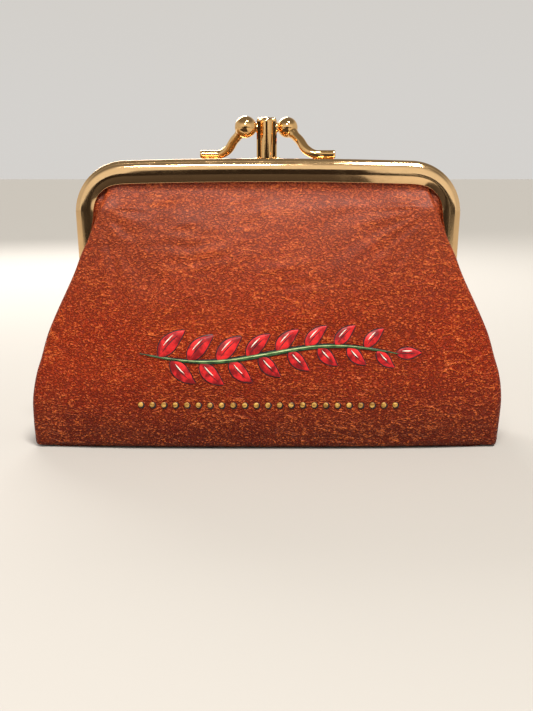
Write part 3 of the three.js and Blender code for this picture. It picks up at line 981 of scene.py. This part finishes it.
def braze(which):
    """The uneven bead of braze where an arm's foot meets its channel."""
    x = np.linspace(BRAZE_OUTER, BRAZE_INNER, 40)
    widths, heights = [1 + 0.25 * noise_at(x / 0.8, 0, seed) for seed in (3, 8)]
    rings = []
    for i, place in enumerate(x):
        taper = math.sin(math.pi * (i + 0.5) / len(x)) ** 0.35
        half, rise = BRAZE_HALF * widths[i] * taper, BRAZE_RISE * heights[i] * taper
        shoulder, drop = 0.62 * half, 0.45 * rise
        section = [(-half, 0), (-shoulder, drop), (0, rise), (shoulder, drop), (half, 0), (0, -0.25)]
        rings.append([(place, FOOT[1] + y, FRAME_TOP - 0.12 + z) for y, z in section])
    made = swept(which + "_braze", [half_turned(np.array(r), which) for r in rings], DEEP_GOLD, angle=80)
    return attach(made, which + "_frame")


def clasp_post():
    """A flat bar with a rounded rib down its front and back, and a softly domed top."""
    low, high = node_box("clasp_post")
    half, bar = (high[0] - low[0]) / 2, 1.0  # half width and half depth of the flat bar
    rib, rib_centre, rib_half = 1.72, 0.55, 1.5  # the rib's radius, its centre's depth and its half width
    swing = math.asin(rib_half / rib)
    arc = [(rib * math.sin(a), rib_centre + rib * math.cos(a)) for a in np.linspace(swing, -swing, 17)]
    bar_corners = [(half, bar - 0.3), (half - 0.3, bar), (rib_half + 0.12, bar)]
    back = bar_corners + arc + [(-x, y) for x, y in reversed(bar_corners)]
    outline = np.array(back + [(-x, -y) for x, y in back])
    top = high[2] - 0.35
    levels = [(low[2] + 0.02, 0.0), (top - 1.1, 0.0), (top - 0.9, 0.0)]  # (height, share drawn in)
    levels += [(top - 0.28, 0.1), (top - 0.2, 0.14), (top - 0.08, 0.26), (top, 0.42), (top + 0.02, 0.7)]
    rings = [np.column_stack([outline * (1 - inset), np.full(len(outline), z)]) for z, inset in levels]
    made = swept("clasp_post_turned", np.array(rings) + CLASP_SHIFT, DEEP_GOLD, angle=38)
    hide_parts("clasp_post")
    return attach(made, "bag")


def post_nubs():
    """A small dome on each side of the post, which the balls snap past."""
    half = node_box("clasp_post")[1][0]
    rise, radius = 0.75, 1.35
    angles = np.linspace(math.pi / 2, 0, 9)
    dome = [(rise * math.cos(a), max(radius * math.sin(a), 0.001)) for a in angles]
    profile = [(-0.2, 0.001), (-0.2, radius), *dome]
    for side in (1, -1):
        centre = CLASP_SHIFT + [side * (half - 0.06), 0, BALL[2] - 0.1]
        made = turned("post_nub_" + hand(side), profile, centre, (side, 0, 0), DEEP_GOLD, sides=28)
        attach(made, "bag")


def post_collar():
    """The small stepped foot that the post is brazed on."""
    low, high = node_box("clasp_post_foot")
    outline = rounded_plate(high[0], high[1], 0.9, 6)
    top = high[2]
    edge = ((0.0, low[2]), (0.0, top - 0.1), (0.12, top + 0.05), (0.35, top + 0.22), (0.9, top + 0.3))
    rings = []
    for inset, z in edge:
        rings.append(np.column_stack([outline * (1 - inset / 3), np.full(len(outline), z)]))
    made = swept("post_collar", rings, DEEP_GOLD, angle=50)
    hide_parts("clasp_post_foot")
    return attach(made, "bag")


# ---------- painted decoration: a plain leafy sprig, laid out by rule, over a dotted line ----------
STEM_HALF = 33.0
STEM_HEIGHT, STEM_WAVE = 26, 2.0
LEAF_POINTS, LEAF_ACROSS = 16, 9
FIRST_LEAF, LAST_LEAF, LEAF_PAIRS = -28, 25, 8  # where the pairs of leaves leave the stem
DOTS_HEIGHT, DOT_COUNT, DOT_R, DOT_EDGE_R = 12.5, 23, 0.74, 0.92


def on_panel(made):
    """Bakes the paint's placement into its mesh, as is done for the front panel."""
    return bend_with(made)


def ribbon_rows(line, widths, across):
    """Rows of (x, z) across a stroke that follows a line; widths are half widths."""
    line = np.array(line, float)
    along = np.gradient(line, axis=0)
    along /= np.linalg.norm(along, axis=1, keepdims=True)
    side = np.column_stack([-along[:, 1], along[:, 0]])
    reach = np.asarray(widths)[:, None] * np.linspace(-1, 1, across)
    return line[:, None, :] + side[:, None, :] * reach[:, :, None]


def paint_patches(name, patches_of_paint, material):
    """Patches of one colour as one piece; each is (rows of (x, z) across it, how far it stands proud)."""
    points, faces = [], []
    for rows, lift in patches_of_paint:
        grid = front_face(rows[:, :, 0], rows[:, :, 1], lift)
        faces += grid_faces(*grid.shape[:2], first=len(points))
        points += list(grid.reshape(-1, 3))
    return on_panel(piece(name, points, faces, material))


def strokes(name, lines, material, lift, relief):
    """Separate brush strokes of one colour, tapered at both ends; each line is (points, half width)."""
    patches_of_paint = []
    for line, half in lines:
        share = np.linspace(0, 1, len(line))
        taper = np.maximum(np.sin(math.pi * np.clip(share, 0.02, 0.98)) ** 0.6, 0.12)
        patches_of_paint.append((ribbon_rows(line, half * taper, 3), lift + relief * np.array([0, 1, 0])))
    return paint_patches(name, patches_of_paint, material)


def stem_height(x):
    """Height of the sprig's stem, which makes one shallow wave."""
    return STEM_HEIGHT + STEM_WAVE * np.sin(np.asarray(x, float) * math.pi / STEM_HALF)


def leaf_line(x, side, length):
    """The middle line of one leaf; side is 1 above the stem, -1 below it and 0 at its end."""
    steps = LEAF_POINTS - 1
    turn = side * np.linspace(1.05, 0.55, steps)
    along, rise = [np.concatenate([[0], np.cumsum(wave(turn))]) * length / steps for wave in (np.cos, np.sin)]
    return np.column_stack([x + along, stem_height(x) + rise])


def sprig_leaves():
    """(middle line, half width) of every leaf: pairs that shrink towards the stem's end."""
    leaves = []
    for x in np.linspace(FIRST_LEAF, LAST_LEAF, LEAF_PAIRS):
        size = 1 - 0.28 * (x - FIRST_LEAF) / (LAST_LEAF - FIRST_LEAF)
        leaves.append((leaf_line(x, 1, 9.6 * size), 2.0 * size))
        leaves.append((leaf_line(x + 3.2, -1, 8.8 * size), 1.9 * size))
    leaves.append((leaf_line(STEM_HALF, 0, 6.6), 1.4))
    return leaves


def leaf_patches(name, leaves, margin, material, lift, relief):
    """All the leaves in one colour, pointed at both ends and proud in the middle."""
    share = np.linspace(0, 1, LEAF_POINTS)
    outline = np.sin(math.pi * share ** 0.8) ** 0.9
    spread = np.linspace(-1, 1, LEAF_ACROSS)
    dome = (1 - spread[None, :] ** 4) * np.clip(12 * share * (1 - share), 0, 1)[:, None]
    patches_of_paint = [
        (ribbon_rows(line, half * outline + 0.04 + margin, LEAF_ACROSS), lift + relief * dome)
        for line, half in leaves
    ]
    return paint_patches(name, patches_of_paint, material)


def sprig():
    """Stem and leaves, each with a dark edge under it and veins or light touches over it."""
    outline = paint_material("outline", (0.006, 0.005, 0.008), (0.02, 0.016, 0.022))
    red = paint_material("leaf_red", (0.2, 0.003, 0.005), (0.62, 0.014, 0.016), (0.5, 1.0, 0.5), 900.0)
    green = paint_material("stem_green", (0.008, 0.025, 0.012), (0.045, 0.12, 0.035))
    light = paint_material("light_green", (0.2, 0.34, 0.12), (0.5, 0.6, 0.3))
    cream = paint_material("cream", (0.55, 0.42, 0.34), (0.85, 0.76, 0.66))
    leaves = sprig_leaves()
    x = np.linspace(-STEM_HALF, STEM_HALF + 0.6, 90)
    stem = np.column_stack([x, stem_height(x)])
    strokes("paint_stem_edge", [(stem, 0.78)], outline, 0.06, 0.02)
    leaf_patches("paint_leaf_edges", leaves, 0.26, outline, 0.08, 0.02)
    leaf_patches("paint_leaves", leaves, 0.0, red, 0.13, 0.2)
    strokes("paint_stem", [(stem, 0.5)], green, 0.36, 0.12)
    strokes("paint_stem_light", [(stem[8:-8] + [0, 0.16], 0.12)], light, 0.49, 0.04)
    veins = [(line[2:-3], 0.11) for line, _ in leaves]
    strokes("paint_leaf_veins", veins, outline, 0.35, 0.03)
    lights = [(line[4:11] + [-0.18 * half, 0.42 * half], 0.15) for line, half in leaves]
    strokes("paint_leaf_lights", lights, cream, 0.35, 0.06)


def dot_tree():
    """Geometry nodes: evenly spaced, flattened dots along the piece's own line."""
    tree = bpy.data.node_groups.new("dot_row", "GeometryNodeTree")
    tree.interface.new_socket("Geometry", in_out="INPUT", socket_type="NodeSocketGeometry")
    for label, kind, value in (("Count", "NodeSocketInt", 10), ("Radius", "NodeSocketFloat", 0.001)):
        tree.interface.new_socket(label, in_out="INPUT", socket_type=kind).default_value = value
    tree.interface.new_socket("Finish", in_out="INPUT", socket_type="NodeSocketMaterial")
    tree.interface.new_socket("Geometry", in_out="OUTPUT", socket_type="NodeSocketGeometry")
    given, result = tree.nodes.new("NodeGroupInput"), tree.nodes.new("NodeGroupOutput")
    line = node(tree, "GeometryNodeMeshToCurve", {"Mesh": given.outputs["Geometry"]}).outputs[0]
    spacing = {"Curve": line, "Count": given.outputs["Count"]}
    spaced = node(tree, "GeometryNodeResampleCurve", spacing).outputs[0]
    shape = {"Segments": 14, "Rings": 9, "Radius": given.outputs["Radius"]}
    dot = node(tree, "GeometryNodeMeshUVSphere", shape).outputs["Mesh"]
    row = {"Points": spaced, "Instance": dot, "Scale": (1.0, 0.45, 1.0)}
    dots = node(tree, "GeometryNodeInstanceOnPoints", row).outputs[0]
    real = node(tree, "GeometryNodeRealizeInstances", {"Geometry": dots}).outputs[0]
    soft = node(tree, "GeometryNodeSetShadeSmooth", {"Geometry": real}).outputs[0]
    finish = {"Geometry": soft, "Material": given.outputs["Finish"]}
    done = node(tree, "GeometryNodeSetMaterial", finish).outputs[0]
    tree.links.new(done, result.inputs["Geometry"])
    return tree


def set_input(modifier, label, value):
    """Sets the modifier's input that has this name, by its socket's identifier."""
    items = modifier.node_group.interface.items_tree
    socket = next(i for i in items if i.name == label and i.in_out == "INPUT")
    modifier[socket.identifier] = value


def dot_row(name, line, lift, radius, material, tree):
    """Dots along a line of (x, z) places on the front panel, as one plain mesh."""
    points = front_face(line[:, 0], line[:, 1], lift)
    made = in_scene(name, plain_mesh(name, points, [(i, i + 1) for i in range(len(points) - 1)], []))
    modifier = made.modifiers.new("dots", "NODES")
    modifier.node_group = tree
    set_input(modifier, "Count", DOT_COUNT)
    set_input(modifier, "Radius", radius * MM)
    set_input(modifier, "Finish", material)
    return on_panel(finish_modifiers(made))


def dotted_line():
    """An evenly spaced row of gold dots under the sprig, each with a dark edge."""
    tree = dot_tree()
    gold = paint_material("dot_gold", (0.2, 0.09, 0.012), (0.55, 0.32, 0.07), scale=2200.0)
    outline = bpy.data.materials["paint_outline"]
    x = np.linspace(-STEM_HALF, STEM_HALF, 60)
    line = np.column_stack([x, np.full(len(x), DOTS_HEIGHT)])
    dot_row("paint_dot_edges", line + [0.1, -0.1], 0.0, DOT_EDGE_R, outline, tree)
    dot_row("paint_dots", line, 0.14, DOT_R, gold, tree)


# ---------- carried-over pieces ----------
def finish_board_nodes():
    """The stiffening board and the paper cords in the channels keep their CAD shape."""
    for name in ("base_board", "front_channel_cord", "rear_channel_cord"):
        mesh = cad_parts[name].data
        mesh.materials.clear()
        mesh.materials.append(BOARD)


# ---------- stage, light and camera ----------
FLOOR_REACH = 4000
FLOOR_TONE = (0.46, 0.448, 0.427, 1)
CARD_TONE = (0.02, 0.014, 0.011, 1)
CAMERA_PLACE = (-0.4, -288.0, 75.0)
CAMERA_PITCH = math.radians(10.37)
LENS, SENSOR = 54.1, 36.0


def stage_quad(name, corners, material):
    mesh = plain_mesh(name, corners, [], [(0, 1, 2, 3)])
    mesh.materials.append(material)
    return in_scene(name, mesh)


def stage_floor():
    material, _, shader = new_material("floor_paper", Roughness=0.75, Specular_IOR_Level=0)
    shader.inputs["Base Color"].default_value = FLOOR_TONE
    corners = [(FLOOR_REACH * a, FLOOR_REACH * b, 0) for a, b in ((-1, -1), (1, -1), (1, 1), (-1, 1))]
    stage_quad("floor", corners, material)


def dark_card(name, corners):
    """A studio card that only the shiny surfaces see, to give the polished metal its dark tones."""
    material, _, shader = new_material(name + "_finish", Roughness=1.0)
    shader.inputs["Base Color"].default_value = CARD_TONE
    card = stage_quad(name, corners, material)
    card.visible_camera = False
    card.visible_diffuse = False
    card.visible_shadow = False


def soft_light(name, place, target, size, power, colour):
    """A rectangular lamp that faces its target."""
    data = bpy.data.lights.new(name, "AREA")
    data.shape = "RECTANGLE"
    data.size, data.size_y = size[0] * MM, size[1] * MM
    data.energy, data.color = power, colour
    light = in_scene(name, data)
    light.location = Vector(place) * MM
    light.rotation_mode = "QUATERNION"
    light.rotation_quaternion = (Vector(target) - Vector(place)).to_track_quat("-Z", "Y")


def soft_sun(power, towards, spread):
    """A broad overhead light; towards points from the purse to it."""
    data = bpy.data.lights.new("sun", "SUN")
    data.energy, data.angle, data.color = power, math.radians(spread), (1.0, 0.95, 0.88)
    light = in_scene("sun", data)
    light.rotation_mode = "QUATERNION"
    light.rotation_quaternion = Vector(towards).to_track_quat("Z", "Y")


def studio_world():
    """A pale room: warm white low down, dimmer overhead, and brightest on the side the purse faces."""
    world = bpy.data.worlds.new("pale_room")
    world.use_nodes = True
    tree = world.node_tree
    background = tree.nodes["Background"]
    direction = node(tree, "ShaderNodeTexCoord").outputs["Generated"]
    parts = node(tree, "ShaderNodeSeparateXYZ", {0: direction})
    rise = parts.outputs["Z"]
    horizon, wall, ceiling = (1.0, 0.97, 0.93, 1), (0.98, 0.94, 0.88, 1), (0.34, 0.32, 0.29, 1)
    low = colour_mix(tree, value_range(tree, rise, 0.02, 0.22), horizon, wall)
    high = colour_mix(tree, value_range(tree, rise, 0.35, 0.75), low, ceiling)
    tree.links.new(high, background.inputs["Color"])
    window = value_range(tree, parts.outputs["Y"], -0.3, -0.85, 0.66, 0.92)
    tree.links.new(window, background.inputs["Strength"])
    scene.world = world


def camera():
    data = bpy.data.cameras.new("camera")
    data.lens, data.sensor_width = LENS, SENSOR
    data.clip_start, data.clip_end = 0.01, 20
    made = in_scene("camera", data)
    made.location = Vector(CAMERA_PLACE) * MM
    made.rotation_euler = (math.pi / 2 - CAMERA_PITCH, 0, 0)
    scene.camera = made


# ---------- build ----------
panel("front", -1, FRONT_CREASES, FRONT_LEATHER)
panel("rear", 1, REAR_CREASES, REAR_LEATHER)
for which, facing in (("front", -1), ("rear", 1)):
    for side in (1, -1):
        gusset(which, facing, side, SIDE_LEATHER)
    lining(which, facing)
    lining_floor(which, facing)
    outer_frame(which, facing)
    clasp_arm(which)
    clasp_ball(which)
    braze(which)
divider()
base_sole()
inner_frame()
for which in ("front", "middle", "rear"):
    for side in ("right", "left"):
        hinge_lug(which, side)
hinge_rivet("right")
hinge_rivet("left")
clasp_post()
post_nubs()
post_collar()
sprig()
dotted_line()
finish_board_nodes()

stage_floor()
dark_card("front_card", [(-620, -3900, 2), (300, -3900, 2), (34, -60, 2), (-200, -60, 2)])
for side in (1, -1):
    corners = [(side * 120, -620, 0), (side * 520, -560, 0), (side * 520, -560, 90), (side * 120, -620, 90)]
    dark_card("side_card_" + hand(side), corners)
dark_card("wide_card", [(-120, -420, 0), (100, -420, 0), (80, -420, 70), (-95, -420, 70)])
dark_card("near_card", [(-58, -150, 60), (44, -150, 60), (40, -150, 99), (-52, -150, 99)])
studio_world()
soft_sun(3.4, (0.22, -0.45, 0.87), 14)
soft_light("lamp", (-50, -400, 360), (0, -10, 50), (110, 36), 1.2, (1.0, 0.93, 0.86))
soft_light("back", (-160, 520, 380), (0, 0, 40), (360, 260), 3.2, (1.0, 0.95, 0.9))
camera()
